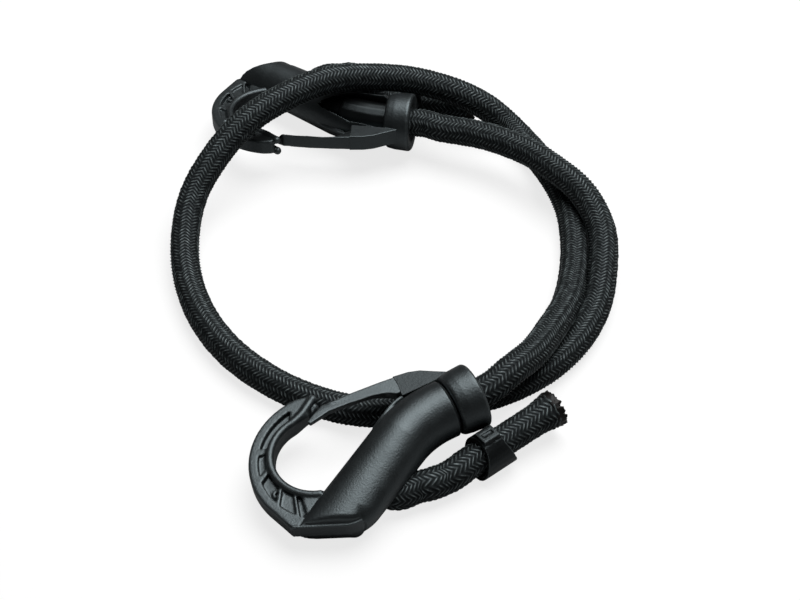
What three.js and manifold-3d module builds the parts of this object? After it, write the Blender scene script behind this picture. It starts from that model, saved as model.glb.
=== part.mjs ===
// Bungee cord: one braided elastic cord, a gated plastic hook at each end. Millimetres, +Z up.
import * as THREE from "three";
import { mergeVertices } from "three/addons/utils/BufferGeometryUtils.js";
import Module from "manifold-3d";

const wasm = await Module();
wasm.setup();

// Fits
const FIT = 0.3; // gap between pieces that touch
const CORD_FIT = 0.4; // radial room round the cord in a bore

// Cord
const CORD_R = 5;
const JACKET_WALL = 1.2;
const CORE_R = CORD_R - JACKET_WALL - FIT;
const CORD_SIDES = 10;
const MAIN_STEPS = 52;
const TAIL_STEPS = 8;
const HELD_STEPS = 24;
const BEAD_LENGTH = 4.5;
const BEAD_FLARE = 0.8;

// Neck sleeve, a smooth liner round the cord in collar and shank
const SLEEVE_WALL = 1.1;
const SLEEVE_R = CORD_R + CORD_FIT + SLEEVE_WALL;
const SLEEVE_REACH = 0.385; // share of the held route
const BORE_SIDES = 16;

// Collar
const COLLAR_LENGTH = 9.6;
const COLLAR_R = 10.9;
const COLLAR_END_R = 10.1;
const LIP_DEPTH = 2.2;
const LIP_FLARE = 2.2;
const MOUTH = 2; // where the free cord ends and the held cord begins

// Shank
const SHANK_R = 9.5;
const SHANK_FROM = COLLAR_LENGTH + FIT;
const SHANK_CHAMFER = 0.9;
const BEND_CORNER = 22;
const BEND_ANGLE = THREE.MathUtils.degToRad(28);
const BEND_R = 34;
const SHANK_REACH = 56; // from the bend corner to past the keel, which cuts it off
const FRONT_SHARE = 0.44; // height of the plain face at the shank's end, over its radius
const ROUND_SIDES = 32;

// Bow plate
const PLATE = 5.8;
const PLATE_EDGE = 0.5;
const BOW = new THREE.Vector2(51.8, -0.6);
const BOW_R = 25.6;
const BOW_LEAST = 7.6; // width of the bow where it is narrowest
const THROAT = new THREE.Vector2(54.8, -3.8);
const THROAT_R = BOW_R - BOW_LEAST - BOW.distanceTo(THROAT);
const THROAT_LOW = THROAT.y - THROAT_R;
const KINK = new THREE.Vector2(73.2, 16.6);
const KEEL_END = new THREE.Vector2(53.4, 26.9);
const KEEL_LEDGE = 1; // width of plate left bare along the keel
const KEEL_ROLL = 3; // how far the shank's end rolls down to the ledge on the plain face
const BACK_ROLL = 4; // the same on the windowed face
const NOSE_TIP_X = 47.6;
const NOSE_HEEL_X = 50.4;
const NOSE_STEP = 1.2;
const SEAT_HALF = THREE.MathUtils.degToRad(6); // half angle of the flat seat in the throat
const RIM = 3.1;
const BEAD = 2;
const POCKET_DEPTH = 1.9;
const SHALLOW_DEPTH = 1;
const POCKETS = [
  { from: -82, to: -38, depth: POCKET_DEPTH },
  { from: -31.5, to: -12, depth: SHALLOW_DEPTH },
  { from: -6, to: 17, depth: POCKET_DEPTH },
  { from: 21, to: 37, depth: SHALLOW_DEPTH },
  { from: 40, to: 47, depth: POCKET_DEPTH },
];

// Gate
const PIVOT = new THREE.Vector2(19.5, -15.3);
const KNUCKLE_R = 2.2;
const GATE_PLATE = 5.2;
const GATE_TIP_X = 52;
const GATE_MID_X = 36.5;
const GATE_ROOT_X = 24;
const GATE_WIDTH = 3;
const GATE_BARB = 2.5;

// Window in the shank
const WINDOW_R = 6.5;
const WINDOW_STRAIGHT = 12;
const WINDOW_TAPER = 19;

// Tail keeper
const KEEPER_WALL = 1.1;
const KEEPER_R = CORD_R + CORD_FIT + KEEPER_WALL;
const KEEPER_FOOT = 11.2;
const KEEPER_TOP = 6.6;
const TAB = new THREE.Vector3(6.2, 5.2, 1.2);
const TAB_DIP = new THREE.Vector3(3.8, 1.6, 0.4);

// Held route through a hook, in the hook's own frame
const HELD_ROUTE = [
  [MOUTH + FIT, 0, 0], [10.5, 0, 0], [19.5, 0.3, -0.6], [28, 2.1, -1.2], [34, 4.05, -1.3],
  [38.4, 5.5, -1.5], [41.6, 8.1, -2.1], [42.3, 12, -3], [40.3, 15.4, -5], [36.6, 16.8, -6.6],
  [31, 17, -7.3], [27.5, 17.8, -7.5],
];

// How each hook lies, and its tail and keeper
const NEAR = {
  name: "near",
  at: new THREE.Vector3(41.35, -65.9, 18.6),
  roll: -4.3,
  pitch: 7.5,
  yaw: -153.2,
  tail: [[30.6, -90.6, 5.9], [34.6, -88.4, 6.6], [37.8, -85.6, 7], [41, -83.06, 7.22], [50, -76.19, 7.92],
    [57, -70.84, 8.46], [64, -65.5, 9]],
  keeper: new THREE.Vector3(45, -80.01, 7.53),
  clear: 0.33, // room between collar and keeper
};
const FAR = {
  name: "far",
  at: new THREE.Vector3(21.85, 77.1, 14.15),
  roll: -173.3,
  pitch: 2.6,
  yaw: 169.2,
  tail: [[2.2, 101.4, 15.6], [6.4, 100.8, 12.2], [10.2, 99, 8.8], [14, 97.3, 7.1], [18.5, 97, 7],
    [30, 97, 7], [41.5, 97, 7]],
  keeper: new THREE.Vector3(21.6, 97, 7),
  clear: 3.3,
};

// Free route of the cord, from the far hook round to the near hook
const MAIN_ROUTE = [
  [32, 73.4, 14.6], [48, 67.7, 15.6], [64, 57.4, 16.4], [73, 48, 16.5], [80.8, 38.9, 15.6],
  [86.1, 29.9, 13.2], [88.9, 18.5, 10.7], [88.7, 3, 8.2], [85.3, -14, 6.1], [77.5, -29.5, 5.1],
  [66.4, -41.4, 5.1], [52.8, -50.8, 5.1], [37, -56.8, 5.1], [20, -60.5, 5.2], [4, -61, 5.2],
  [-11, -56.4, 5.2], [-26, -47.5, 5.2], [-39.5, -35, 5.2], [-50.3, -18.6, 5.3], [-57.4, 1, 6],
  [-59.6, 19, 8.6], [-57.6, 35.5, 13.8], [-51, 48, 20.2], [-40.5, 61, 26.3], [-27, 72.4, 29.2],
  [-10, 84.3, 28.7], [5.8, 90.9, 25.1], [22, 93.4, 21.6], [38, 89.9, 18.8], [50, 87, 13.6],
  [58.2, 83.4, 7.8], [64.8, 75.2, 5.5], [73.2, 58, 5.2], [78.4, 40, 5.2], [79.6, 23, 5.2], [78.3, 5, 5.7],
  [74.2, -15, 9.3], [67.6, -31.9, 13.8], [60.4, -46.7, 17.5], [52.6, -56.9, 20],
];

const BLACK_PLASTIC = { color: 0x1b1c1d, roughness: 0.5, metalness: 0 };
const BLACK_BRAID = { color: 0x141415, roughness: 0.9, metalness: 0 };
const RUBBER = { color: 0x8a7d6a, roughness: 0.85, metalness: 0 };
const FUSED = { color: 0x1d1916, roughness: 0.65, metalness: 0 };

function degrees(value) {
  return THREE.MathUtils.degToRad(value);
}

function vectors(points) {
  return points.map((p) => new THREE.Vector3(p[0], p[1], p[2]));
}

// A closed solid with shared vertices and no triangle of zero area
function solid(geometry) {
  const plain = geometry.clone();
  plain.deleteAttribute("normal");
  plain.deleteAttribute("uv");
  const merged = mergeVertices(plain, 1e-4);
  const index = merged.index.array;
  const kept = [];
  for (let i = 0; i < index.length; i += 3) {
    const [a, b, c] = [index[i], index[i + 1], index[i + 2]];
    if (a !== b && b !== c && c !== a) {
      kept.push(a, b, c);
    }
  }
  return new wasm.Manifold(new wasm.Mesh({
    numProp: 3,
    vertProperties: new Float32Array(merged.attributes.position.array),
    triVerts: new Uint32Array(kept),
  }));
}

function geometryOf(shape) {
  const mesh = shape.getMesh();
  const geometry = new THREE.BufferGeometry();
  geometry.setAttribute("position", new THREE.BufferAttribute(mesh.vertProperties, 3));
  geometry.setIndex(new THREE.BufferAttribute(mesh.triVerts, 1));
  return geometry;
}

function smoothCurve(points) {
  const curve = new THREE.CatmullRomCurve3(points, false, "centripetal");
  curve.arcLengthDivisions = 800;
  return curve;
}

function disc(radius, sides) {
  const shape = new THREE.Shape();
  for (let i = 0; i < sides; i += 1) {
    const turn = (2 * Math.PI * i) / sides;
    const [x, y] = [radius * Math.cos(turn), radius * Math.sin(turn)];
    if (i === 0) {
      shape.moveTo(x, y);
    } else {
      shape.lineTo(x, y);
    }
  }
  shape.closePath();
  return shape;
}

function ringSection(outer, inner, sides) {
  const shape = disc(outer, sides);
  shape.holes.push(disc(inner, sides));
  return shape;
}

function sweep(section, curve, steps) {
  return new THREE.ExtrudeGeometry(section, { extrudePath: curve, steps, bevelEnabled: false });
}

// Turned about the X axis; each profile point is [radius, x]
function turned(profile, sides) {
  const points = profile.map((p) => new THREE.Vector2(p[0], p[1]));
  return new THREE.LatheGeometry(points, sides).rotateZ(-Math.PI / 2);
}

// Plate of the hook, its thickness centred on z = 0
function plate(shape, thickness, edge) {
  const geometry = new THREE.ExtrudeGeometry(shape, {
    depth: thickness - 2 * edge,
    curveSegments: 12,
    bevelEnabled: edge > 0,
    bevelThickness: edge,
    bevelSize: edge,
    bevelOffset: -edge,
    bevelSegments: 1,
  });
  return geometry.translate(0, 0, edge - thickness / 2);
}

// Piece of a curve between two shares of its length
function partOf(curve, from, to, count) {
  const points = [];
  for (let i = 0; i <= count; i += 1) {
    points.push(curve.getPointAt(from + ((to - from) * i) / count));
  }
  return smoothCurve(points);
}

// Moves a straight bar along X onto the shank's bent axis
function bendShank(geometry) {
  const from = BEND_CORNER - BEND_R * Math.tan(BEND_ANGLE / 2);
  const to = from + BEND_R * BEND_ANGLE;
  const position = geometry.attributes.position;
  for (let i = 0; i < position.count; i += 1) {
    const along = position.getX(i);
    const turn = THREE.MathUtils.clamp((along - from) / BEND_R, 0, BEND_ANGLE);
    const straight = Math.min(along - from, 0) + Math.max(along - to, 0);
    const across = position.getY(i) - BEND_R;
    const x = from - across * Math.sin(turn) + straight * Math.cos(turn);
    const y = BEND_R + across * Math.cos(turn) + straight * Math.sin(turn);
    position.setXY(i, x, y);
  }
  return geometry;
}

// Lowers the plain face of a bar along X, more and more from one place to another
function flattenFront(geometry, from, to) {
  const position = geometry.attributes.position;
  for (let i = 0; i < position.count; i += 1) {
    const share = THREE.MathUtils.clamp((position.getX(i) - from) / (to - from), 0, 1);
    const height = position.getZ(i);
    if (height > 0) {
      position.setZ(i, height * (1 - (1 - FRONT_SHARE) * share));
    }
  }
  return geometry;
}

function shank() {
  const bendFrom = BEND_CORNER - BEND_R * Math.tan(BEND_ANGLE / 2);
  const bendLength = BEND_R * BEND_ANGLE;
  const end = bendFrom + bendLength + SHANK_REACH - (BEND_CORNER - bendFrom);
  const profile = [[0, SHANK_FROM], [SHANK_R - SHANK_CHAMFER, SHANK_FROM],
    [SHANK_R, SHANK_FROM + 1.4 * SHANK_CHAMFER]];
  const bends = 5;
  for (let i = 0; i <= bends; i += 1) {
    profile.push([SHANK_R, bendFrom + (bendLength * i) / bends]);
  }
  const bendTo = bendFrom + bendLength;
  const rings = 5;
  for (let i = 1; i <= rings; i += 1) {
    profile.push([SHANK_R, bendTo + ((end - bendTo) * i) / rings]);
  }
  profile.push([0, end]);
  return bendShank(flattenFront(turned(profile, ROUND_SIDES), bendTo, end));
}

function bowPlate() {
  const bowLow = BOW.y - BOW_R;
  const shape = new THREE.Shape();
  shape.absarc(BOW.x, BOW.y, BOW_R, -Math.PI / 2, degrees(20), false);
  shape.lineTo(KINK.x, KINK.y);
  shape.lineTo(KEEL_END.x, KEEL_END.y);
  shape.lineTo(KEEL_END.x - SHANK_R * 0.6, KEEL_END.y - SHANK_R * 0.9);
  shape.lineTo(KEEL_END.x, KEEL_END.y - SHANK_R * 1.75);
  shape.absarc(THROAT.x, THROAT.y, THROAT_R, degrees(74), SEAT_HALF, true);
  shape.absarc(THROAT.x, THROAT.y, THROAT_R, -SEAT_HALF, -Math.PI / 2, true);
  shape.lineTo(NOSE_HEEL_X, THROAT_LOW - NOSE_STEP);
  shape.lineTo(NOSE_TIP_X, bowLow + NOSE_STEP * 1.6);
  shape.lineTo(NOSE_TIP_X + NOSE_STEP * 0.7, bowLow + NOSE_STEP * 0.6);
  shape.closePath();
  return plate(shape, PLATE, PLATE_EDGE);
}

// Room that the shank's end may fill: its height rolls down to the plate at the keel
function keelRoom() {
  const length = 3 * SHANK_REACH;
  const tall = SHANK_R + FIT;
  const half = (roll) => {
    const points = [];
    const steps = 6;
    for (let i = 0; i <= steps; i += 1) {
      const turn = (Math.PI / 2) * (i / steps);
      points.push([roll * (1 - Math.cos(turn)), PLATE / 2 + (tall - PLATE / 2) * Math.sin(turn)]);
    }
    return [...points, [length, tall]];
  };
  const back = half(BACK_ROLL).map((p) => new THREE.Vector2(p[0], -p[1]));
  const front = half(KEEL_ROLL).map((p) => new THREE.Vector2(p[0], p[1]));
  const shape = new THREE.Shape([...back, ...front.reverse()]);
  const along = new THREE.Vector3(KEEL_END.x - KINK.x, KEEL_END.y - KINK.y, 0).normalize();
  const up = new THREE.Vector3(0, 0, 1);
  const inward = new THREE.Vector3().crossVectors(up, along);
  const start = new THREE.Vector3(KINK.x, KINK.y, 0)
    .addScaledVector(along, -length / 2)
    .addScaledVector(inward, KEEL_LEDGE);
  const room = new THREE.ExtrudeGeometry(shape, { depth: length, bevelEnabled: false });
  return room.applyMatrix4(new THREE.Matrix4().makeBasis(inward, up, along).setPosition(start));
}

// Cutters for one channel pocket, one on each face of the bow
function pocketCutters(pocket) {
  const [from, to] = [degrees(pocket.from), degrees(pocket.to)];
  const shape = new THREE.Shape();
  shape.absarc(BOW.x, BOW.y, BOW_R - RIM, from, to, false);
  shape.absarc(THROAT.x, THROAT.y, THROAT_R + BEAD, to, from, true);
  shape.closePath();
  const floor = PLATE / 2 - pocket.depth;
  return [1, -1].map((side) => {
    const cutter = new THREE.ExtrudeGeometry(shape, { depth: PLATE, curveSegments: 4, bevelEnabled: false });
    return solid(cutter.translate(0, 0, side > 0 ? floor : -floor - PLATE));
  });
}

function windowCutter() {
  const profile = [[0, -1.5], [WINDOW_R, -1.5]];
  const rings = 6;
  for (let i = 0; i < rings; i += 1) {
    const share = i / rings;
    profile.push([WINDOW_R * (1 - share) ** 0.75, WINDOW_STRAIGHT + WINDOW_TAPER * share]);
  }
  profile.push([0, WINDOW_STRAIGHT + WINDOW_TAPER]);
  const cutter = turned(profile, ROUND_SIDES);
  const from = new THREE.Vector3(10, -3.5, -5.6);
  const to = new THREE.Vector3(40, 1.5, -3.8);
  const turn = new THREE.Quaternion().setFromUnitVectors(
    new THREE.Vector3(1, 0, 0),
    to.sub(from).normalize(),
  );
  return cutter.applyQuaternion(turn).translate(from.x, from.y, from.z);
}

const heldCurve = smoothCurve(vectors(HELD_ROUTE));
const sleeveCurve = partOf(heldCurve, 0.004, SLEEVE_REACH, 10);
const sleeveRoom = partOf(heldCurve, 0, SLEEVE_REACH + 0.008, 10);

function hookBody() {
  const cuts = [
    solid(windowCutter()),
    solid(sweep(disc(SLEEVE_R + FIT, BORE_SIDES), sleeveRoom, 12)),
    solid(sweep(disc(CORD_R + CORD_FIT, BORE_SIDES), heldCurve, HELD_STEPS)),
  ];
  const bow = POCKETS.flatMap(pocketCutters).reduce((left, cut) => left.subtract(cut), solid(bowPlate()));
  const body = solid(shank()).intersect(solid(keelRoom())).add(bow);
  return geometryOf(cuts.reduce((left, cut) => left.subtract(cut), body));
}

function collar() {
  const lip = CORD_R + CORD_FIT;
  const bore = SLEEVE_R + FIT;
  const ring = turned([
    [bore, COLLAR_LENGTH], [bore, LIP_DEPTH], [lip, LIP_DEPTH], [lip, LIP_DEPTH - 0.7],
    [lip + LIP_FLARE, 0], [COLLAR_R - 0.6, 0], [COLLAR_R, 0.7], [COLLAR_R - 0.3, 6],
    [COLLAR_END_R, COLLAR_LENGTH - 0.8], [COLLAR_END_R - 0.8, COLLAR_LENGTH], [bore, COLLAR_LENGTH],
  ], ROUND_SIDES);
  const panel = new THREE.Shape();
  const shankSide = -SHANK_R - CORD_FIT;
  panel.moveTo(COLLAR_LENGTH * 0.3, shankSide * 0.87);
  panel.lineTo(COLLAR_LENGTH * 0.4, shankSide * 1.03);
  panel.lineTo(COLLAR_LENGTH * 0.82, PIVOT.y + 2.4);
  panel.lineTo(PIVOT.x - 7.6, PIVOT.y - 0.3);
  panel.lineTo(PIVOT.x - 3.5, PIVOT.y - 1.75);
  panel.absarc(PIVOT.x, PIVOT.y, KNUCKLE_R + FIT, degrees(228), degrees(112), true);
  panel.lineTo(PIVOT.x, PIVOT.y + KNUCKLE_R * 1.4);
  panel.lineTo(PIVOT.x + 1.9, PIVOT.y + KNUCKLE_R * 1.85);
  panel.lineTo(PIVOT.x + 2.1, shankSide);
  panel.lineTo(COLLAR_LENGTH * 0.98, shankSide);
  panel.lineTo(COLLAR_LENGTH * 0.96, shankSide * 0.87);
  panel.closePath();
  return geometryOf(solid(ring).add(solid(plate(panel, PLATE, 0))));
}

function gate() {
  const shape = new THREE.Shape();
  shape.absarc(PIVOT.x, PIVOT.y, KNUCKLE_R, degrees(70), degrees(280), false);
  shape.lineTo(GATE_ROOT_X + GATE_WIDTH, PIVOT.y - GATE_WIDTH * 1.1);
  shape.lineTo(GATE_MID_X, PIVOT.y - GATE_WIDTH * 1.2);
  shape.lineTo(GATE_TIP_X - GATE_BARB * 2.6, THROAT_LOW - GATE_BARB);
  shape.lineTo(GATE_TIP_X, THROAT_LOW + NOSE_STEP);
  shape.lineTo(GATE_TIP_X - NOSE_STEP / 2, THROAT_LOW + NOSE_STEP * 1.8);
  shape.lineTo(GATE_TIP_X - GATE_BARB * 3, THROAT_LOW + NOSE_STEP * 0.75);
  shape.lineTo(GATE_MID_X + NOSE_STEP, PIVOT.y - GATE_WIDTH * 0.23);
  shape.lineTo(GATE_ROOT_X + GATE_WIDTH * 1.8, PIVOT.y + GATE_WIDTH * 0.23);
  shape.lineTo(GATE_ROOT_X - GATE_WIDTH * 0.5, PIVOT.y + GATE_WIDTH * 0.7);
  shape.closePath();
  return plate(shape, GATE_PLATE, PLATE_EDGE / 2);
}

function neckSleeve() {
  return sweep(ringSection(SLEEVE_R, CORD_R + CORD_FIT, BORE_SIDES), sleeveCurve, 8);
}

// Keeper ring round a tail that runs along X, its tab on top
function tailKeeper() {
  const tall = KEEPER_R + TAB.z;
  const ring = sweep(
    ringSection(KEEPER_R, CORD_R + CORD_FIT, 24),
    new THREE.LineCurve3(new THREE.Vector3(-KEEPER_FOOT, 0, 0), new THREE.Vector3(KEEPER_FOOT, 0, 0)),
    1,
  );
  const side = new THREE.Shape();
  side.moveTo(-KEEPER_FOOT / 2, -tall);
  side.lineTo(KEEPER_FOOT / 2, -tall);
  side.lineTo(KEEPER_TOP / 2, tall);
  side.lineTo(-KEEPER_TOP / 2, tall);
  side.closePath();
  const trim = new THREE.ExtrudeGeometry(side, { depth: 4 * KEEPER_R, bevelEnabled: false });
  trim.translate(0, 0, -2 * KEEPER_R).rotateX(Math.PI / 2);
  const top = tall - TAB.z / 2 - 0.2;
  const tab = new THREE.BoxGeometry(TAB.x, TAB.y, TAB.z).translate(0, 0, top);
  const dip = new THREE.BoxGeometry(TAB_DIP.x, TAB_DIP.y, 2 * TAB_DIP.z).translate(0, 0, top + TAB.z / 2);
  return geometryOf(solid(ring).intersect(solid(trim)).add(solid(tab)).subtract(solid(dip)));
}

function fusedEnd() {
  return turned([
    [0, 0], [CORD_R - 0.2, 0], [CORD_R + BEAD_FLARE, BEAD_LENGTH * 0.55],
    [CORD_R + 0.3, BEAD_LENGTH], [0, BEAD_LENGTH * 0.9],
  ], 16);
}

function part(name, geometry, look) {
  const mesh = new THREE.Mesh(geometry, new THREE.MeshStandardMaterial(look));
  mesh.name = name;
  return mesh;
}

const jacketSection = ringSection(CORD_R, CORD_R - JACKET_WALL, CORD_SIDES);
const coreSection = disc(CORE_R, CORD_SIDES);

function cordPair(name, curve, steps) {
  return [
    part(`${name}_jacket`, sweep(jacketSection, curve, steps), BLACK_BRAID),
    part(`${name}_core`, sweep(coreSection, curve, steps), RUBBER),
  ];
}

function hookFrame(hook) {
  const group = new THREE.Group();
  group.name = `${hook.name}_hook`;
  group.position.copy(hook.at);
  group.rotation.set(degrees(hook.roll), degrees(hook.pitch), degrees(hook.yaw), "ZYX");
  group.updateMatrixWorld(true);
  return group;
}

const shapes = { body: hookBody(), collar: collar(), gate: gate(), sleeve: neckSleeve(), keeper: tailKeeper() };

function hookAssembly(hook) {
  const group = hookFrame(hook);
  group.add(
    part(`${hook.name}_hook_body`, shapes.body.clone(), BLACK_PLASTIC),
    part(`${hook.name}_collar`, shapes.collar.clone(), BLACK_PLASTIC),
    part(`${hook.name}_gate`, shapes.gate.clone(), BLACK_PLASTIC),
    part(`${hook.name}_neck_sleeve`, shapes.sleeve.clone(), BLACK_PLASTIC),
    ...cordPair(`${hook.name}_cord_held`, heldCurve, HELD_STEPS),
  );
  return group;
}

// Shift of a tail that keeps its keeper clear of the collar
function clearOfCollar(hook, frame) {
  const axis = new THREE.Vector3(1, 0, 0).applyQuaternion(frame.quaternion);
  const out = hook.keeper.clone().sub(hook.at);
  out.addScaledVector(axis, -out.dot(axis));
  const missing = COLLAR_R + KEEPER_R + hook.clear - out.length();
  return out.normalize().multiplyScalar(missing);
}

// Tail of the cord from the hook's exit port to its fused end, with the keeper on it
function tailAssembly(hook) {
  const frame = hookFrame(hook);
  const shift = clearOfCollar(hook, frame);
  const points = vectors(hook.tail).map((point) => point.add(shift));
  const leaving = [FIT, CORD_R / 2].map((gap) => {
    const point = heldCurve.getPoint(1).addScaledVector(heldCurve.getTangent(1), gap);
    return frame.localToWorld(point);
  });
  const curve = smoothCurve([...leaving, ...points]);
  const run = curve.getTangent(1);
  const turn = new THREE.Quaternion().setFromUnitVectors(new THREE.Vector3(1, 0, 0), run);
  const keeper = part(`${hook.name}_tail_keeper`, shapes.keeper.clone(), BLACK_PLASTIC);
  keeper.position.copy(hook.keeper).add(shift);
  keeper.quaternion.copy(turn);
  const bead = part(`${hook.name}_fused_end`, fusedEnd(), FUSED);
  bead.position.copy(points[points.length - 1]).addScaledVector(run, FIT);
  bead.quaternion.copy(turn);
  return [...cordPair(`${hook.name}_cord_tail`, curve, TAIL_STEPS), bead, keeper];
}

function mainCord() {
  const [from, to] = [hookFrame(FAR), hookFrame(NEAR)];
  const inside = new THREE.Vector3(MOUTH, 0, 0);
  const outside = new THREE.Vector3(-CORD_R, 0, 0);
  const points = [
    from.localToWorld(inside.clone()),
    from.localToWorld(outside.clone()),
    ...vectors(MAIN_ROUTE),
    to.localToWorld(outside.clone()),
    to.localToWorld(inside.clone()),
  ];
  return cordPair("cord_main", smoothCurve(points), MAIN_STEPS);
}

const bungee = new THREE.Group();
bungee.name = "bungee_cord";
bungee.add(hookAssembly(NEAR), hookAssembly(FAR));
bungee.add(...tailAssembly(NEAR), ...tailAssembly(FAR), ...mainCord());

export default bungee;
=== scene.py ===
"""Dressed bungee cord: braided cord, moulded hooks, materials, camera and light. Metres, +Z up."""

import math

import bmesh
import bpy
import numpy as np
from mathutils import Euler, Matrix, Vector, noise


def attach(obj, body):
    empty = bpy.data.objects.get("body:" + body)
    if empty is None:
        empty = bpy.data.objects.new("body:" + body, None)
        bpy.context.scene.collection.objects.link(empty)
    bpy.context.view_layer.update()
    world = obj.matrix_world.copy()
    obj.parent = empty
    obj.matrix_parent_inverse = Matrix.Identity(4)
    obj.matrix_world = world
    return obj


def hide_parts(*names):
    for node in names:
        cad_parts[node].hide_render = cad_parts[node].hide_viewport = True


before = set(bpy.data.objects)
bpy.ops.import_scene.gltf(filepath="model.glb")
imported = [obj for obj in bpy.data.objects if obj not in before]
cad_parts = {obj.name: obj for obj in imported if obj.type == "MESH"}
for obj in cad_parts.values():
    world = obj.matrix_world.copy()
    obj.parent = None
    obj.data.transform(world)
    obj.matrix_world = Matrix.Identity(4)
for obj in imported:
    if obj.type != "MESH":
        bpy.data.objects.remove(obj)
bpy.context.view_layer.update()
MM = 0.001

# Camera, as the photograph was taken
CAMERA_TARGET = Vector((0.017, -0.004, 0.0))
CAMERA_ELEVATION = math.radians(44.48)
CAMERA_DISTANCE = 0.6354
CAMERA_LENS = 81.5

# Light
WORLD_LIGHT = 0.05
FLOOR_TONE = 0.32
FLOOR_REACH = 3.0
GLOW_SHARE = 0.2  # how much of the floor the camera sees as plain white
GLOW_STRENGTH = 3.9
KEY_PLACE = (0.22, 0.3, 1.03)
KEY_SIZE = 1.1
KEY_POWER = 14.9

# Cord
CORD_RADIUS = 0.005
BRAID_COLUMNS = 14
SIDES_PER_COLUMN = 4
RINGS_PER_PITCH = 3
YARNS_PER_RIB = 4
MAIN_PITCH = 0.00142
TAIL_PITCH = 0.0016
MAIN_RELIEF = 0.00034  # height of the ribs
TAIL_RELIEF = 0.0003
MAIN_SPREAD = 0.0017  # how far a rib slants along the cord
TAIL_SPREAD = 0.0021
RIB_HEIGHTS = (0.7, 1.25)  # least and greatest share of the relief that a rib has
SLANT_FROM = 0.004  # the ribs take up their slant over this length at each end
CROWN_FILL = 0.3  # how full a rib is between its crown and its foot
COLUMN_DIP = 0.8  # depth of the groove between two columns, over the ribs' height
TAIL_FLARE = 0.17
FLARE_LENGTH = 0.008
TAIL_PAST = 0.0025  # how far the braid reaches into the fused end
TAIL_FROM = (0.0411, 0.0143, -0.0043)  # where the held cord is taken to end, in the hook's own frame

# Hooks: where each one lies, and the points that its cord and tail follow
MOUTH = 0.002
HELD_ROUTE = [
    (0.0023, 0, 0), (0.0105, 0, 0), (0.0195, 0.0003, -0.0006), (0.028, 0.0021, -0.0012),
    (0.034, 0.00405, -0.0013), (0.0384, 0.0055, -0.0015), (0.0416, 0.0081, -0.0021),
    (0.0423, 0.012, -0.003), (0.0403, 0.0154, -0.005), (0.0366, 0.0168, -0.0066),
    (0.031, 0.017, -0.0073), (0.0275, 0.0178, -0.0075),
]
HOOKS = {
    "near": {
        "at": (0.04135, -0.0659, 0.0186),
        "turn": (-4.3, 7.5, -153.2),
        "keeper_rise": 0.001,
        "tail": [
            (0.0306, -0.0906, 0.0059), (0.0346, -0.0884, 0.0066), (0.0378, -0.0856, 0.007),
            (0.041, -0.08306, 0.00722), (0.05, -0.07619, 0.00792), (0.057, -0.07084, 0.00846),
            (0.064, -0.0655, 0.009),
        ],
    },
    "far": {
        "at": (0.02185, 0.0771, 0.01415),
        "turn": (-173.3, 2.6, 169.2),
        "keeper_rise": 0.0,
        "tail": [
            (0.0022, 0.1014, 0.0156), (0.0064, 0.1008, 0.0122), (0.0102, 0.099, 0.0088),
            (0.014, 0.0973, 0.0071), (0.0185, 0.097, 0.007), (0.03, 0.097, 0.007),
            (0.0415, 0.097, 0.007),
        ],
    },
}
MAIN_ROUTE = [
    (0.032, 0.0734, 0.0146), (0.048, 0.0677, 0.0156), (0.064, 0.0574, 0.0164),
    (0.073, 0.048, 0.0165), (0.0808, 0.0389, 0.0156), (0.0861, 0.0299, 0.0132),
    (0.0889, 0.0185, 0.0107), (0.088, 0.0033, 0.0085), (0.0845, -0.0135, 0.0061),
    (0.077, -0.0288, 0.0051), (0.0664, -0.0414, 0.0051), (0.0528, -0.0508, 0.0051),
    (0.037, -0.0568, 0.0051), (0.02, -0.0605, 0.0052), (0.004, -0.061, 0.0052),
    (-0.011, -0.0564, 0.0052), (-0.026, -0.0475, 0.0052), (-0.0395, -0.035, 0.0052),
    (-0.0503, -0.0186, 0.0053), (-0.0574, 0.001, 0.006), (-0.0596, 0.019, 0.0086),
    (-0.0576, 0.0355, 0.0138), (-0.051, 0.048, 0.0202), (-0.0405, 0.061, 0.0263),
    (-0.027, 0.0724, 0.0292), (-0.01, 0.0843, 0.0287), (0.0058, 0.0909, 0.0251),
    (0.022, 0.0934, 0.0216), (0.038, 0.0899, 0.0188), (0.05, 0.087, 0.0136),
    (0.0582, 0.0834, 0.0078), (0.0648, 0.0752, 0.0055), (0.0732, 0.058, 0.0052),
    (0.0784, 0.04, 0.0052), (0.0796, 0.023, 0.0052), (0.0783, 0.005, 0.0057),
    (0.0742, -0.015, 0.0093), (0.0676, -0.0319, 0.0138), (0.0604, -0.0467, 0.0175),
    (0.0526, -0.0569, 0.02),
]

# Hook shapes, in millimetres in the hook's own frame
PLATE = 5.8
BEAD_R = 1.4
BEAD_OUT = 1.15  # from the throat's edge to the bead's middle
BEAD_DROP = 0.55  # from the plate's face down to the bead's middle
BEAD_SWEEP = (-84, 71)
NOSE_R = 1.5
THROAT = (54.8, -3.8)
THROAT_R = 13.614
KINK = Vector((73.2, 16.6, 0))
KEEL_END = Vector((53.4, 26.9, 0))
KEEL_TOP = 3.0
KEEL_BLEND = 2.8
KEEL_LINE_IN = 0.4
KEEL_LINE_DROP = 0.25
KEEL_LINE_R = 0.5
KEEL_CORNER = 6.0  # how far the rounding of the keel's end reaches
KEEL_SLANT = 0.69  # how far the shank's side leans back for each millimetre in from the keel
NOSE_FINGER = [(46.9, -23.5), (49.6, -21.7), (52.4, -19.9)]
SHANK_LIP = [(21.2, -9.9), (22.8, -9.7), (25.8, -8.7), (29.9, -6.5), (34.6, -3.7), (38.5, -0.8)]
LIP_HEIGHT = 1.8
LIP_R = 0.7
BOSS = (71.5, 3.0)
BOSS_R = 1.25
BOSS_HEIGHT = 1.7
BOSS_LINE = 0.6
SHANK_R = 9.5
SHANK_BEND = 22.0
BEND_R = 34.0
BEND_ANGLE = math.radians(28)
SHANK_REACH = 56.0
FRONT_SHARE = 0.44
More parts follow.
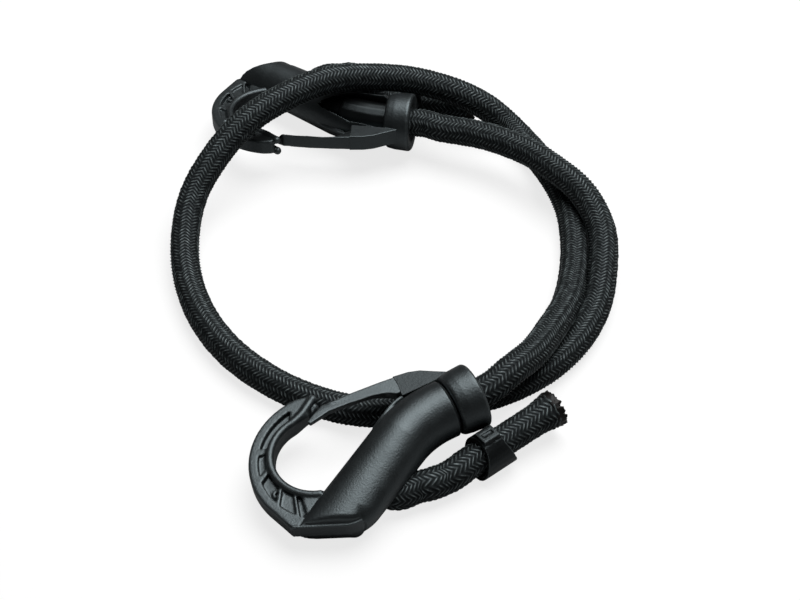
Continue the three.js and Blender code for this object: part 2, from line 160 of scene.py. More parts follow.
SHANK_POLISH = 0.05  # a point this close to the true surface, over its radius, is brought onto it
COLLAR_PROFILE = [(0.7, 10.9), (6.0, 10.6), (8.8, 10.1)]  # along the collar, and its radius there
COLLAR_POLISH = 0.03
COLLAR_MARGIN = 0.5  # left as it is at each end of the collar
LEAF_ROOT = [
    (20.2, -11.2), (22.4, -11.4), (25.5, -13.4), (29.4, -14.7), (36, -16.9), (43, -18.7), (43.4, -19.4),
    (36, -19.3), (24.9, -18.3), (20.2, -17.7),
]
LEAF_TOP = 2.9
LEAF_DEPTH = 5.5
LEAF_EDGE = 0.3
HINGE_COVER = [
    (3.4, -8.6), (4.2, -10.5), (8.0, -13.0), (11.9, -15.7), (15.5, -17.1), (20.7, -18.0), (20.8, -14.0),
    (21.3, -11.6), (21.5, -9.7), (9.6, -9.6),
]
COVER_HALF = 2.98
COVER_EDGE = 0.25
LINER_R = 5.6
# along the gate: its outer edge, its inner edge, and the share of its depth kept at the inner edge
GATE_SECTION = [(20, -17.7, -11.4, 0.85), (30, -18.9, -14.9, 0.35), (44, -19.5, -18.0, 0.4),
                (54, -19.5, -18.0, 0.3)]
# along the tail's end, and its radius there
FUSED_PROFILE = [
    (-1.6, 5.7), (-0.6, 6.0), (0.4, 6.2), (1.1, 6.2), (1.5, 5.7), (1.2, 4.6), (0.5, 3.4), (0.2, 1.8),
    (0.3, 0.0),
]
FRAY_FROM = -1.6
FRAY_LENGTH = 1.6
RIM_R = 5.0
LUMP_LENGTHWAYS = 0.6
LUMP_ACROSS = 0.06
RAGGED_LENGTHWAYS = 0.5
RAGGED_ACROSS = 0.03

# Keeper, in metres
KEEPER_RADIUS = 0.00665
KEEPER_BORE = 0.0055
KEEPER_WALL = 0.0009
KEEPER_SPREAD = 0.35  # how much longer the strap is along the cord at its lower front edge
KEEPER_FORWARD = 0.0011  # how far that edge stands forward

# Finishes
BLACK = (0.004, 0.0044, 0.0046)
# paler colour painted along the plastic's outer edges as a highlight
PAINTED_EDGE_HIGHLIGHT = (0.06, 0.07, 0.072)
LINER_BLACK = (0.002, 0.0021, 0.0022)
# paler colour painted along the liner's outer edges as a highlight
PAINTED_LINER_EDGE_HIGHLIGHT = (0.008, 0.0088, 0.009)
COOL = (0.85, 1.0, 1.05, 1.0)  # tint of the gloss on the plastic and the braid


def camera():
    data = bpy.data.cameras.new("photo_camera")
    data.lens = CAMERA_LENS
    data.clip_start = 0.01
    shot = bpy.data.objects.new("photo_camera", data)
    bpy.context.collection.objects.link(shot)
    back = Vector((0, -math.cos(CAMERA_ELEVATION), math.sin(CAMERA_ELEVATION)))
    shot.location = CAMERA_TARGET + CAMERA_DISTANCE * back
    shot.rotation_euler = (math.pi / 2 - CAMERA_ELEVATION, 0, 0)
    bpy.context.scene.camera = shot


def hook_matrix(hook):
    turn = Euler([math.radians(angle) for angle in HOOKS[hook]["turn"]], "XYZ")
    return Matrix.Translation(HOOKS[hook]["at"]) @ turn.to_matrix().to_4x4()


def moved(matrix, points):
    return [matrix @ Vector(point) for point in points]


def smooth_route(points, steps=24):
    """Dense points of the centripetal Catmull-Rom curve through these points."""
    p = np.array([tuple(point) for point in points], float)
    p = np.vstack([2 * p[0] - p[1], p, 2 * p[-1] - p[-2]])
    share = np.linspace(0, 1, steps, endpoint=False)[:, None]
    pieces = []
    for before, start, end, after in zip(p[:-3], p[1:-2], p[2:-1], p[3:]):
        first = np.linalg.norm(start - before) ** 0.5
        middle = np.linalg.norm(end - start) ** 0.5
        last = np.linalg.norm(after - end) ** 0.5
        leave = (start - before) / first - (end - before) / (first + middle) + (end - start) / middle
        reach = (end - start) / middle - (after - start) / (middle + last) + (after - end) / last
        leave, reach = leave * middle, reach * middle
        square = -3 * start + 3 * end - 2 * leave - reach
        cube = 2 * start - 2 * end + leave + reach
        pieces.append(start + leave * share + square * share**2 + cube * share**3)
    return np.vstack(pieces + [p[-2:-1]])


def lengths(path):
    return np.r_[0, np.cumsum(np.linalg.norm(np.diff(path, axis=0), axis=1))]


def resample(path, step):
    """The path in equal steps of about this length."""
    along = lengths(path)
    count = max(2, int(round(along[-1] / step)))
    wanted = np.linspace(0, along[-1], count + 1)
    return np.stack([np.interp(wanted, along, path[:, axis]) for axis in range(3)], 1)


def side_vectors(path):
    """Two unit vectors across the path at each point, carried along it without twist."""
    tangent = np.gradient(path, axis=0)
    tangent /= np.linalg.norm(tangent, axis=1)[:, None]
    across = np.cross(tangent[0], (0, 0, 1))
    sides = []
    for way in tangent:
        across = across - way * np.dot(across, way)
        across /= np.linalg.norm(across)
        sides.append(across)
    sides = np.array(sides)
    return sides, np.cross(tangent, sides)


def grid_object(name, points, marks):
    """A closed tube from rings of points; each face has two UV columns, one for each of its sides."""
    rings, sides = points.shape[:2]
    corners = []
    uv = []
    for i in range(rings - 1):
        for j in range(sides):
            k = (j + 1) % sides
            corners.append((i * sides + j, i * sides + k, (i + 1) * sides + k, (i + 1) * sides + j))
            uv += [marks[i, j, 0], marks[i, j, 1], marks[i + 1, j, 1], marks[i + 1, j, 0]]
    quads = len(corners)
    corners.append(tuple(reversed(range(sides))))
    corners.append(tuple(range((rings - 1) * sides, rings * sides)))
    mesh = bpy.data.meshes.new(name)
    mesh.from_pydata(points.reshape(-1, 3).tolist(), [], corners)
    layer = mesh.uv_layers.new(name="UVMap")
    flat = np.zeros(2 * len(mesh.loops))
    flat[: 8 * quads] = np.array(uv).ravel()
    layer.data.foreach_set("uv", flat)
    mesh.shade_smooth()
    piece = bpy.data.objects.new(name, mesh)
    bpy.context.collection.objects.link(piece)
    return piece


def round_marks(rings, sides, columns, heights):
    """UVs for a tube: columns round it, and the given height of each ring and face."""
    marks = np.zeros((rings, sides, 2, 2))
    start = columns * np.arange(sides) / sides
    marks[:, :, 0, 0] = start
    marks[:, :, 1, 0] = start + columns / sides
    marks[:, :, :, 1] = heights[:, :, None]
    return marks


def braid_rings(route, pitch, relief, spread, flare=0):
    """A braided cord's path, points and UVs: columns of slanting ribs round a tube on the route."""
    path = resample(smooth_route(route), pitch / RINGS_PER_PITCH)
    along = lengths(path)
    across, over = side_vectors(path)
    sides = BRAID_COLUMNS * SIDES_PER_COLUMN
    column = np.arange(sides) // SIDES_PER_COLUMN
    share = np.arange(sides) % SIDES_PER_COLUMN / SIDES_PER_COLUMN
    lean = spread * (share - 0.5) * (1 - 2 * (column % 2))
    from_end = np.minimum(along, along[-1] - along)
    slide = along[:, None] + lean * np.clip(from_end / SLANT_FROM, 0, 1)[:, None]
    swell = np.sin(np.pi * (share + 0.5 / SIDES_PER_COLUMN)) ** 0.5
    ribs = np.broadcast_to(np.arange(len(path))[:, None] / RINGS_PER_PITCH, (len(path), sides))
    uneven = np.random.default_rng(5).uniform(*RIB_HEIGHTS, (int(ribs.max()) + 2, BRAID_COLUMNS))
    height = relief * uneven[np.round(ribs).astype(int), column[None]]
    wave = np.cos(2 * np.pi * ribs)
    radius = CORD_RADIUS + height * (wave + CROWN_FILL * (1 - wave**2)) * swell
    radius = radius - COLUMN_DIP * relief * (1 - swell)
    widen = np.clip((along - along[-1] + FLARE_LENGTH) / FLARE_LENGTH, 0, 1)
    radius = radius * (1 + flare * widen**2 * (3 - 2 * widen))[:, None]
    spots = []
    for values in (path, across, over):
        spots.append(np.stack([np.interp(slide, along, values[:, axis]) for axis in range(3)], 2))
    angle = 2 * np.pi * np.arange(sides) / sides
    round_it = np.cos(angle)[:, None] * spots[1] + np.sin(angle)[:, None] * spots[2]
    points = spots[0] + radius[:, :, None] * round_it
    return path, points, round_marks(len(path), sides, BRAID_COLUMNS, ribs)


def held_and_tail(hook):
    """The cord's route from inside the collar, through the hook and along the tail."""
    route = moved(hook_matrix(hook), HELD_ROUTE) + [Vector(point) for point in HOOKS[hook]["tail"]]
    route.append(route[-1] + TAIL_PAST * (route[-1] - route[-2]).normalized())
    return route


def main_route():
    inside = [(MOUTH, 0, 0), (-CORD_RADIUS, 0, 0)]
    start = moved(hook_matrix("far"), inside)
    end = moved(hook_matrix("near"), inside[::-1])
    return start + [Vector(point) for point in MAIN_ROUTE] + end


def raised_line(points, radius):
    """A round bead along these points, as a mesh in millimetres."""
    data = bpy.data.curves.new("raised_line", "CURVE")
    data.dimensions = "3D"
    data.bevel_depth = radius
    data.bevel_resolution = 4
    data.use_fill_caps = True
    spline = data.splines.new("POLY")
    path = resample(smooth_route(points), radius / 2)
    spline.points.add(len(path) - 1)
    for point, place in zip(spline.points, path):
        point.co = (*place, 1)
    shape = bpy.data.objects.new("raised_line", data)
    bpy.context.collection.objects.link(shape)
    mesh = bpy.data.meshes.new_from_object(shape.evaluated_get(bpy.context.evaluated_depsgraph_get()))
    bpy.data.objects.remove(shape)
    return mesh


def ball(place, radius):
    build = bmesh.new()
    bmesh.ops.create_icosphere(build, subdivisions=3, radius=radius, matrix=Matrix.Translation(place))
    mesh = bpy.data.meshes.new("ball")
    build.to_mesh(mesh)
    build.free()
    return mesh


def cut_plate(outline, low, high, edge):
    """A flat plate of this outline with softened edges, as a mesh in millimetres."""
    build = bmesh.new()
    face = build.faces.new([build.verts.new((x, y, low)) for x, y in outline])
    top = bmesh.ops.extrude_face_region(build, geom=[face])["geom"]
    corners = [item for item in top if isinstance(item, bmesh.types.BMVert)]
    bmesh.ops.translate(build, verts=corners, vec=(0, 0, high - low))
    bmesh.ops.recalc_face_normals(build, faces=build.faces)
    bmesh.ops.bevel(
        build, geom=build.edges[:], offset=edge, affect="EDGES", segments=2, profile=0.5, material=-1
    )
    mesh = bpy.data.meshes.new("plate")
    build.to_mesh(mesh)
    build.free()
    return mesh


def arc(centre, radius, start, end, height, count=24):
    turns = np.radians(np.linspace(start, end, count))
    return [(centre[0] + radius * math.cos(a), centre[1] + radius * math.sin(a), height) for a in turns]


def body_details():
    """Raised lines of the hook: bead and nose finger, boss, keel edge and the lip along the shank."""
    details = []
    for side in (1, -1):
        top = side * (PLATE / 2 - BEAD_DROP)
        bead = [(x, y, top) for x, y in NOSE_FINGER] + arc(THROAT, THROAT_R + BEAD_OUT, *BEAD_SWEEP, top)
        details.append(raised_line(bead, BEAD_R))
        details.append(ball(bead[0], NOSE_R))
        details.append(raised_line(arc(BOSS, BOSS_R, 0, 350, side * BOSS_HEIGHT, 20), BOSS_LINE))
    edge = [KINK.lerp(KEEL_END, share) + KEEL_LINE_IN * keel_inward() for share in (0.02, 0.5, 1)]
    details.append(raised_line([(x, y, PLATE / 2 - KEEL_LINE_DROP) for x, y, _ in edge], KEEL_LINE_R))
    details.append(raised_line([(x, y, LIP_HEIGHT) for x, y in SHANK_LIP], LIP_R))
    return details


def moulded(name, node, hook, voxel, smooth, details=()):
    """The node's shape again as one moulded piece with soft edges and these details joined to it."""
    build = bmesh.new()
    build.from_mesh(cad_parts[node].data)
    bmesh.ops.remove_doubles(build, verts=build.verts, dist=1e-6)
    for detail in details:
        placed = detail.copy()
        placed.transform(hook_matrix(hook) @ Matrix.Scale(MM, 4))
        build.from_mesh(placed)
    mesh = bpy.data.meshes.new(name)
    build.to_mesh(mesh)
    build.free()
    piece = bpy.data.objects.new(name, mesh)
    bpy.context.collection.objects.link(piece)
    remesh = piece.modifiers.new("moulding", "REMESH")
    remesh.mode = "VOXEL"
    remesh.voxel_size = voxel
    soften = piece.modifiers.new("soft_edges", "SMOOTH")
    soften.factor = 0.5
    soften.iterations = smooth
    apply_modifiers(piece)
    return piece


def shank_scale(spots):
    """How far each point (in millimetres) lies out from the shank's true surface: 1 is on it."""
    start = SHANK_BEND - BEND_R * math.tan(BEND_ANGLE / 2)
    x, y, z = spots.T
    turn = np.clip(np.arctan2(x - start, BEND_R - y), 0, BEND_ANGLE)
    foot = np.stack([start + BEND_R * np.sin(turn), BEND_R - BEND_R * np.cos(turn)], 1)
    past = (x - foot[:, 0]) * np.cos(turn) + (y - foot[:, 1]) * np.sin(turn)
    foot += past[:, None] * np.stack([np.cos(turn), np.sin(turn)], 1)
    end = SHANK_REACH - BEND_R * math.tan(BEND_ANGLE / 2)
    low = 1 - (1 - FRONT_SHARE) * np.clip(past / end, 0, 1) * (turn > BEND_ANGLE / 2)
    across = np.hypot(x - foot[:, 0], y - foot[:, 1])
    return np.hypot(across, z / np.where(z > 0, low, 1)) / SHANK_R, foot


def collar_scale(spots):
    x, y, z = spots.T
    along, radius = np.array(COLLAR_PROFILE).T
    scale = np.hypot(y, z) / np.interp(x, along, radius)
    scale[(x < along[0] + COLLAR_MARGIN) | (x > along[-1] - COLLAR_MARGIN)] = 0
    return scale, np.stack([x, 0 * x], 1)


def vertex_places(mesh):
    spots = np.empty(3 * len(mesh.vertices))
    mesh.vertices.foreach_get("co", spots)
    return spots.reshape(-1, 3)


def reshape(piece, hook, change):
    """Moves the piece's points as this function says, in millimetres in the hook's own frame."""
    place = hook_matrix(hook) @ Matrix.Scale(MM, 4)
    piece.data.transform(place.inverted())
    spots = change(vertex_places(piece.data))
    piece.data.vertices.foreach_set("co", spots.ravel())
    piece.data.transform(place)


def polished(spots, scale_of, within):
    """Brings the points that lie close to a true round surface onto it."""
    scale, foot = scale_of(spots)
    centre = np.column_stack([foot, np.zeros(len(foot))])
    away = np.abs(scale - 1)
    pull = np.clip(2 - away / (0.5 * within), 0, 1)[:, None]
    true = centre + (spots - centre) / np.maximum(scale, 0.1)[:, None]
    return spots + pull * (true - spots)


def polished_shank(spots):
    return polished(spots, shank_scale, SHANK_POLISH)


def polished_collar(spots):
    return polished(spots, collar_scale, COLLAR_POLISH)


def keel_inward():
    return (KEEL_END - KINK).cross(Vector((0, 0, -1))).normalized()


def blended_keel(spots):
    """Lets the shank's front slope down to the keel's edge without a step, and rounds the keel's end."""
    inside = (spots - np.array(KINK)) @ np.array(keel_inward())
    keep = np.sin(np.pi / 2 * np.clip(inside / KEEL_BLEND, 0, 1))
    raised = spots[:, 2] > KEEL_TOP
    spots[raised, 2] = KEEL_TOP + (spots[raised, 2] - KEEL_TOP) * keep[raised]
    run = np.array((KINK - KEEL_END).normalized())
    along = (spots - np.array(KEEL_END)) @ run
    from_side = np.maximum(1 - (along + KEEL_SLANT * inside) / KEEL_CORNER, 0)
    from_keel = np.maximum(1 - inside / KEEL_CORNER, 0)
    reach = np.maximum(np.hypot(from_side, from_keel), 1e-6)
    cut = np.where(np.minimum(from_side, from_keel) > 0, 1 - np.maximum(from_side, from_keel) / reach, 0)
    inward = KEEL_CORNER * from_keel * cut
    spots += inward[:, None] * np.array(keel_inward())
    spots += (KEEL_CORNER * from_side * cut - KEEL_SLANT * inward)[:, None] * run
    return spots


def thinned_gate(spots):
    """Cuts the gate's underside away toward its inner edge and its tip."""
    along, outer, inner, kept = (np.array(column) for column in zip(*GATE_SECTION))
    x, y, z = spots.T
    from_outer = y - np.interp(x, along, outer)
    inward = np.clip(from_outer / np.interp(x, along, inner - outer), 0, 1)
    share = 1 - (1 - np.interp(x, along, kept)) * inward
    spots[:, 2] = z.max() - (z.max() - z) * share
    return spots


def widen_keeper(piece, hook):
    """Widens the keeper's strap toward its lower front edge and raises its top."""
    spots = vertex_places(piece.data)
    centre = (spots.min(0) + spots.max(0)) / 2
    path = smooth_route(held_and_tail(hook))
    nearest = int(np.argmin(np.linalg.norm(path - centre, axis=1)))
    run = path[nearest + 3] - path[nearest - 3]
    run /= np.linalg.norm(run)
    front = np.cross(run, (0, 0, 1))
    front /= np.linalg.norm(front)
    over = np.cross(front, run)
    lower = (front - over) / math.sqrt(2)
    away = spots - centre
    depth = np.clip(away @ lower / KEEPER_RADIUS, 0, 1)[:, None]
    from_axis = spots - path[nearest]
    high = from_axis @ over
    outer = np.clip((np.hypot(high, from_axis @ front) - KEEPER_BORE) / KEEPER_WALL, 0, 1)
    rise = HOOKS[hook]["keeper_rise"] * outer * np.clip(high / KEEPER_RADIUS, 0, 1)
    spots = spots + (away @ run)[:, None] * run * KEEPER_SPREAD * depth + front * KEEPER_FORWARD * depth
    spots = spots + rise[:, None] * over
    piece.data.vertices.foreach_set("co", spots.ravel())


def apply_modifiers(piece):
    graph = bpy.context.evaluated_depsgraph_get()
    done = bpy.data.meshes.new_from_object(piece.evaluated_get(graph))
    piece.modifiers.clear()
    piece.data = done
    done.shade_smooth()
    mark_edges(done)


def mark_edges(mesh):
    """Stores how strongly each vertex stands out from its neighbours, for a highlight painted along the
    edges.
    """
    count = len(mesh.vertices)
    points = vertex_places(mesh)
    normals = np.empty(3 * count)
    mesh.vertex_normals.foreach_get("vector", normals)
    normals = normals.reshape(-1, 3)
    ends = np.empty(2 * len(mesh.edges), int)
    mesh.edges.foreach_get("vertices", ends)
    first, second = ends.reshape(-1, 2).T
    gap = points[first] - points[second]
    reach = np.linalg.norm(gap, axis=1)
    lift = np.zeros(count)
    links = np.zeros(count)
    for here, sign in ((first, 1), (second, -1)):
        np.add.at(lift, here, sign * np.einsum("ij,ij->i", gap, normals[here]) / reach)
        np.add.at(links, here, 1)
    layer = mesh.attributes.new("edge", "FLOAT", "POINT")
    layer.data.foreach_set("value", np.clip(lift / np.maximum(links, 1), -1, 1))


def new_material(name):
    material = bpy.data.materials.new(name)
    material.use_nodes = True
    nodes = material.node_tree.nodes
    return material, nodes, material.node_tree.links, nodes["Principled BSDF"]


def add(nodes, kind, **values):
    """A node of this kind with these properties and inputs set."""
    node = nodes.new(kind)
    for key, value in values.items():
        if hasattr(node, key):
            setattr(node, key, value)
        else:
            node.inputs[key.replace("_", " ")].default_value = value
    return node


def ramp(nodes, stops):
    node = nodes.new("ShaderNodeValToRGB")
    points = node.color_ramp.elements
    while len(points) < len(stops):
        points.new(1)
    for point, (place, colour) in zip(points, stops):
        point.position = place
        point.color = (*colour, 1)
    return node


def moulding_group():
    """Shared surface of moulded plastic: cloudy tone, a highlight painted paler along the outer edges,
    uneven gloss, fine grain.
    """
    tree = bpy.data.node_groups.new("moulded_surface", "ShaderNodeTree")
    for label, kind in (("Tone", "Color"), ("Edge", "Color"), ("Gloss", "Float"), ("Grain", "Float")):
        tree.interface.new_socket(label, in_out="INPUT", socket_type=f"NodeSocket{kind}")
    for label, kind in (("Color", "Color"), ("Roughness", "Float"), ("Normal", "Vector")):
        tree.interface.new_socket(label, in_out="OUTPUT", socket_type=f"NodeSocket{kind}")
    nodes, links = tree.nodes, tree.links
    given = nodes.new("NodeGroupInput").outputs
    made = nodes.new("NodeGroupOutput").inputs
    place = add(nodes, "ShaderNodeTexCoord").outputs["Object"]
    cloud = add(nodes, "ShaderNodeTexNoise", Scale=220, Detail=4)
    fine = add(nodes, "ShaderNodeTexNoise", Scale=1500, Detail=3)
    links.new(place, cloud.inputs["Vector"])
    links.new(place, fine.inputs["Vector"])
    shade = add(nodes, "ShaderNodeMapRange", To_Min=0.6, To_Max=1.4)
    links.new(cloud.outputs["Fac"], shade.inputs["Value"])
    tone = add(nodes, "ShaderNodeVectorMath", operation="SCALE")
    links.new(given["Tone"], tone.inputs[0])
    links.new(shade.outputs["Result"], tone.inputs["Scale"])
    # the outer edges take the edge colour: a highlight painted along them
    edge = add(nodes, "ShaderNodeAttribute", attribute_name="edge")
    painted_edge_highlight = add(nodes, "ShaderNodeMapRange", From_Min=0.04, From_Max=0.16)
    links.new(edge.outputs["Fac"], painted_edge_highlight.inputs["Value"])
    mix = add(nodes, "ShaderNodeMix", data_type="RGBA")
    links.new(painted_edge_highlight.outputs["Result"], mix.inputs["Factor"])
    links.new(tone.outputs["Vector"], mix.inputs[6])
    links.new(given["Edge"], mix.inputs[7])
    links.new(mix.outputs[2], made["Color"])
    gloss = add(nodes, "ShaderNodeMath", operation="MULTIPLY_ADD")
    gloss.inputs[1].default_value = 0.16
    links.new(cloud.outputs["Fac"], gloss.inputs[0])
    links.new(given["Gloss"], gloss.inputs[2])
    links.new(gloss.outputs[0], made["Roughness"])
    bump = add(nodes, "ShaderNodeBump", Distance=0.0001)
    links.new(given["Grain"], bump.inputs["Strength"])
    links.new(fine.outputs["Fac"], bump.inputs["Height"])
    links.new(bump.outputs["Normal"], made["Normal"])
    return tree


def plastic(name, surface, tone, edge, gloss, grain, shine):
    material, nodes, links, shader = new_material(name)
    group = nodes.new("ShaderNodeGroup")
    group.node_tree = surface
    group.inputs["Tone"].default_value = (*tone, 1)
    group.inputs["Edge"].default_value = (*edge, 1)
    group.inputs["Gloss"].default_value = gloss
    group.inputs["Grain"].default_value = grain
    for source, target in (("Color", "Base Color"), ("Roughness", "Roughness"), ("Normal", "Normal")):
        links.new(group.outputs[source], shader.inputs[target])
    shader.inputs["Specular IOR Level"].default_value = shine
    shader.inputs["Specular Tint"].default_value = COOL
    return material


def rib_mask(nodes, links, split):
    """A value that is greatest on the crown of each rib and falls off toward its edges."""
    crowns = []
    for axis, offset in (("X", 0.0), ("Y", 0.5)):
        shift = add(nodes, "ShaderNodeMath", operation="ADD")
        shift.inputs[1].default_value = offset
        links.new(split.outputs[axis], shift.inputs[0])
        part = add(nodes, "ShaderNodeMath", operation="FRACT")
        links.new(shift.outputs[0], part.inputs[0])
        crown = add(nodes, "ShaderNodeMath", operation="PINGPONG")
        crown.inputs[1].default_value = 0.5
        links.new(part.outputs[0], crown.inputs[0])
        crowns.append(crown.outputs[0])
    # the value falls toward each column's sides; in the braid's colour this paints shade where the
    # columns meet
    column = add(nodes, "ShaderNodeMapRange", From_Max=0.5, To_Min=0.36, To_Max=0.5)
    links.new(crowns[0], column.inputs["Value"])
    rib = add(nodes, "ShaderNodeMath", operation="MULTIPLY")
    links.new(column.outputs["Result"], rib.inputs[0])
    links.new(crowns[1], rib.inputs[1])
    return rib


def woven(name):
    """Black braid: a highlight painted paler on the ribs' crowns, and shade painted black between them
    and where the columns meet.
    """
    material, nodes, links, shader = new_material(name)
    split = add(nodes, "ShaderNodeSeparateXYZ")
    place = add(nodes, "ShaderNodeTexCoord")
    links.new(place.outputs["UV"], split.inputs["Vector"])
    rib = rib_mask(nodes, links, split)
    cloud = add(nodes, "ShaderNodeTexNoise", Scale=600, Detail=2)
    links.new(place.outputs["Object"], cloud.inputs["Vector"])
    patchy = add(nodes, "ShaderNodeMapRange", From_Min=0.35, From_Max=0.65, To_Min=0.72, To_Max=1.1)
    links.new(cloud.outputs["Fac"], patchy.inputs["Value"])
    shade = add(nodes, "ShaderNodeMath", operation="MULTIPLY")
    links.new(rib.outputs[0], shade.inputs[0])
    links.new(patchy.outputs["Result"], shade.inputs[1])
    # painted highlight on the ribs' crowns, painted shade almost black in the gaps between the ribs
    tone = ramp(nodes, [
        (0.0, (0.0004, 0.0005, 0.0005)), (0.09, (0.002, 0.0024, 0.0025)), (0.15, (0.012, 0.0142, 0.0145)),
        (0.24, (0.17, 0.2, 0.204)),
    ])
    links.new(shade.outputs[0], tone.inputs["Fac"])
    links.new(tone.outputs["Color"], shader.inputs["Base Color"])
    yarn = add(nodes, "ShaderNodeMath", operation="MULTIPLY")
    yarn.inputs[1].default_value = 2 * math.pi * YARNS_PER_RIB
    links.new(split.outputs["Y"], yarn.inputs[0])
    wave = add(nodes, "ShaderNodeMath", operation="SINE")
    links.new(yarn.outputs[0], wave.inputs[0])
    bump = add(nodes, "ShaderNodeBump", Strength=0.3, Distance=0.00008)
    links.new(wave.outputs[0], bump.inputs["Height"])
    links.new(bump.outputs["Normal"], shader.inputs["Normal"])
    matt = add(nodes, "ShaderNodeMapRange", From_Max=0.2, To_Min=0.95, To_Max=0.34)
    links.new(rib.outputs[0], matt.inputs["Value"])
    links.new(matt.outputs["Result"], shader.inputs["Roughness"])
    shader.inputs["Specular IOR Level"].default_value = 0.36
    shader.inputs["Specular Tint"].default_value = COOL
    return material


def melted(name):
    """Heat-fused cord end: brown-black, blotched and a little shiny."""
    material, nodes, links, shader = new_material(name)
    place = add(nodes, "ShaderNodeTexCoord").outputs["Object"]
    blotch = add(nodes, "ShaderNodeTexNoise", Scale=700, Detail=4)
    links.new(place, blotch.inputs["Vector"])
    tone = ramp(nodes, [(0.35, (0.001, 0.0009, 0.0009)), (0.75, (0.009, 0.0075, 0.0065))])
    links.new(blotch.outputs["Fac"], tone.inputs["Fac"])
    links.new(tone.outputs["Color"], shader.inputs["Base Color"])
    bump = add(nodes, "ShaderNodeBump", Strength=0.6, Distance=0.0003)
    links.new(blotch.outputs["Fac"], bump.inputs["Height"])
    links.new(bump.outputs["Normal"], shader.inputs["Normal"])
    shader.inputs["Roughness"].default_value = 0.45
    shader.inputs["Specular IOR Level"].default_value = 0.25
    return material


def finish_piece(piece, body, nodes, material):
    piece.data.materials.clear()
    piece.data.materials.append(material)
    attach(piece, body)
    if nodes:
        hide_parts(*nodes)


def cords(material):
    path, points, marks = braid_rings(main_route(), MAIN_PITCH, MAIN_RELIEF, MAIN_SPREAD)
    main = grid_object("cord_main_braid", points, marks)
    finish_piece(main, "cord_and_hooks", ["cord_main_jacket", "cord_main_core"], material)


def cord_ends(material, melted_material):
    """The cord inside each hook, the tail that leaves it, and the tail's fused end."""
    for hook in HOOKS:
        path, points, marks = braid_rings(
            held_and_tail(hook), TAIL_PITCH, TAIL_RELIEF, TAIL_SPREAD, TAIL_FLARE
        )
        leaves = np.array(hook_matrix(hook) @ Vector(TAIL_FROM))
        split = int(np.argmin(np.linalg.norm(path - leaves, axis=1)))
        end = fused_end(f"{hook}_fused_braid", path[-1], path[-1] - path[-4])
        finish_piece(end, "cord_and_hooks", [f"{hook}_fused_end"], melted_material)
        for run, rings in (("held", slice(0, split + 1)), ("tail", slice(split, None))):
            piece = grid_object(f"{hook}_cord_{run}_braid", points[rings], marks[rings])
            nodes = [f"{hook}_cord_{run}_{layer}" for layer in ("jacket", "core")]
            finish_piece(piece, "cord_and_hooks", nodes, material)


def frayed(spot):
    """Where a point of the fused end moves to, in millimetres along the tail (x) and across it."""
    lump = noise.noise(0.7 * spot) + 0.7 * noise.noise(1.6 * spot)
    angle = math.atan2(spot.z, spot.y)
    rough = min(1, max(0, (spot.x - FRAY_FROM) / FRAY_LENGTH))
    rim = min(1, spot.yz.length / RIM_R)
    ragged = 0.45 * math.sin(22 * angle) + 0.35 * math.sin(13 * angle + 1)
    wide = 1 + rough * (LUMP_ACROSS * lump + RAGGED_ACROSS * ragged)
    out = rough * (LUMP_LENGTHWAYS * lump + RAGGED_LENGTHWAYS * rim * ragged)
    return Vector((spot.x + out, wide * spot.y, wide * spot.z))


def fused_end(name, place, run):
    """Flared, lumpy end where the braid's yarns are melted together."""
    build = bmesh.new()
    spots = resample(np.array([(x, r, 0.0) for x, r in FUSED_PROFILE]), 0.35)
    line = [build.verts.new(spot) for spot in spots]
    for first, second in zip(line, line[1:]):
        build.edges.new((first, second))
    bmesh.ops.spin(
        build, geom=build.verts[:] + build.edges[:], cent=(0, 0, 0), axis=(1, 0, 0), angle=2 * math.pi,
        steps=72, use_merge=True,
    )
    bmesh.ops.remove_doubles(build, verts=build.verts, dist=0.001)
    bmesh.ops.holes_fill(build, edges=build.edges)
    bmesh.ops.recalc_face_normals(build, faces=build.faces)
    for vert in build.verts:
        vert.co = frayed(vert.co)
    aim = Vector((1, 0, 0)).rotation_difference(Vector(run)).to_matrix().to_4x4()
    build.transform(Matrix.Translation(place) @ aim @ Matrix.Scale(MM, 4))
    mesh = bpy.data.meshes.new(name)
    build.to_mesh(mesh)
    build.free()
    mesh.shade_smooth()
    piece = bpy.data.objects.new(name, mesh)
    bpy.context.collection.objects.link(piece)
    return piece


def hooks(black, panel, liner):
    body_lines = body_details()
    leaf_root = [cut_plate(LEAF_ROOT, LEAF_TOP - LEAF_DEPTH, LEAF_TOP, LEAF_EDGE)]
    tongue = [raised_line([Vector(point) / MM for point in HELD_ROUTE[1:5]], LINER_R)]
    for hook in HOOKS:
        node = f"{hook}_hook_body"
        body = moulded(f"{hook}_hook_moulding", node, hook, voxel=0.0003, smooth=7, details=body_lines)
        reshape(body, hook, polished_shank)
        reshape(body, hook, blended_keel)
        finish_piece(body, "cord_and_hooks", [node], black)
        node = f"{hook}_collar"
        collar = moulded(f"{hook}_collar_moulding", node, hook, voxel=0.00035, smooth=4)
        reshape(collar, hook, polished_collar)
        finish_piece(collar, "cord_and_hooks", [node], black)
        node = f"{hook}_gate"
        gate = moulded(f"{hook}_gate_moulding", node, hook, voxel=0.00025, smooth=4, details=leaf_root)
        reshape(gate, hook, thinned_gate)
        finish_piece(gate, f"{hook}_gate", [node], black)
        node = f"{hook}_tail_keeper"
        keeper = moulded(f"{hook}_keeper_moulding", node, hook, voxel=0.00025, smooth=4)
        widen_keeper(keeper, hook)
        finish_piece(keeper, f"{hook}_keeper", [node], panel)
        node = f"{hook}_neck_sleeve"
        sleeve = moulded(f"{hook}_sleeve_moulding", node, hook, voxel=0.0003, smooth=6, details=tongue)
        finish_piece(sleeve, "cord_and_hooks", [node], liner)
        cover_finish = panel if hook == "near" else black
        finish_piece(hinge_cover(hook), "cord_and_hooks", [], cover_finish)


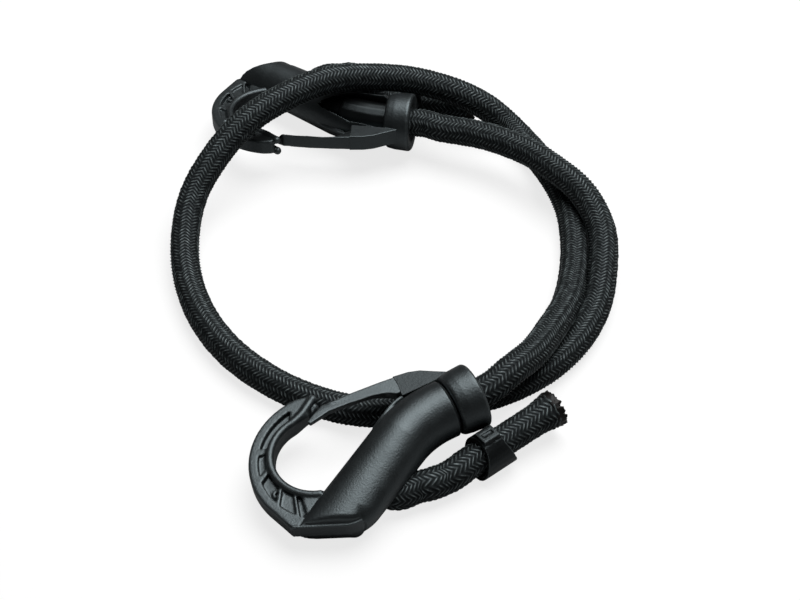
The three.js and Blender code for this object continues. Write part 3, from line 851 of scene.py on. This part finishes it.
def hinge_cover(hook):
    """A skin round the hinge, so that panel and gate read as one leaf."""
    mesh = cut_plate(HINGE_COVER, -COVER_HALF, COVER_HALF, COVER_EDGE)
    mesh.transform(hook_matrix(hook) @ Matrix.Scale(MM, 4))
    piece = bpy.data.objects.new(f"{hook}_hinge_cover", mesh)
    bpy.context.collection.objects.link(piece)
    return piece


def white_floor():
    """A floor that keeps a soft shadow and looks white to the camera."""
    build = bmesh.new()
    bmesh.ops.create_grid(build, x_segments=1, y_segments=1, size=FLOOR_REACH)
    mesh = bpy.data.meshes.new("floor")
    build.to_mesh(mesh)
    build.free()
    floor = bpy.data.objects.new("floor", mesh)
    bpy.context.collection.objects.link(floor)
    material, nodes, links, shader = new_material("floor_white")
    shader.inputs["Base Color"].default_value = (*3 * [FLOOR_TONE], 1)
    shader.inputs["Roughness"].default_value = 0.9
    shader.inputs["Specular IOR Level"].default_value = 0
    seen = add(nodes, "ShaderNodeLightPath")
    share = add(nodes, "ShaderNodeMath", operation="MULTIPLY")
    share.inputs[1].default_value = GLOW_SHARE
    links.new(seen.outputs["Is Camera Ray"], share.inputs[0])
    glow = add(nodes, "ShaderNodeEmission", Strength=GLOW_STRENGTH)
    mix = add(nodes, "ShaderNodeMixShader")
    links.new(share.outputs[0], mix.inputs[0])
    links.new(shader.outputs[0], mix.inputs[1])
    links.new(glow.outputs[0], mix.inputs[2])
    links.new(mix.outputs[0], nodes["Material Output"].inputs["Surface"])
    mesh.materials.append(material)


def surroundings():
    """A dim world that the camera sees as white."""
    world = bpy.data.worlds.new("surroundings")
    world.use_nodes = True
    bpy.context.scene.world = world
    nodes, links = world.node_tree.nodes, world.node_tree.links
    seen = add(nodes, "ShaderNodeLightPath")
    mix = add(nodes, "ShaderNodeMix", data_type="RGBA")
    mix.inputs[6].default_value = (*3 * [WORLD_LIGHT], 1)
    mix.inputs[7].default_value = (1, 1, 1, 1)
    links.new(seen.outputs["Is Camera Ray"], mix.inputs[0])
    links.new(mix.outputs[2], nodes["Background"].inputs["Color"])


def area_light(name, place, aim, size, power):
    data = bpy.data.lights.new(name, "AREA")
    data.shape = "DISK"
    data.size = size
    data.energy = power
    light = bpy.data.objects.new(name, data)
    bpy.context.collection.objects.link(light)
    light.location = place
    light.rotation_euler = (Vector(aim) - Vector(place)).to_track_quat("-Z", "Y").to_euler()


def main():
    scene = bpy.context.scene
    scene.view_settings.view_transform = "Standard"
    camera()
    braid = woven("black_braid")
    cords(braid)
    cord_ends(braid, melted("fused_braid"))
    surface = moulding_group()
    black = plastic("black_moulding", surface, BLACK, PAINTED_EDGE_HIGHLIGHT, gloss=0.36, grain=0.8, shine=1.0)
    panel = plastic("black_panel", surface, BLACK, PAINTED_EDGE_HIGHLIGHT, gloss=0.3, grain=0.9, shine=0.38)
    liner = plastic("black_liner", surface, LINER_BLACK, PAINTED_LINER_EDGE_HIGHLIGHT, gloss=0.3, grain=0.05, shine=0.3)
    hooks(black, panel, liner)
    white_floor()
    surroundings()
    area_light("softbox", KEY_PLACE, (0, 0, 0), KEY_SIZE, KEY_POWER)


main()
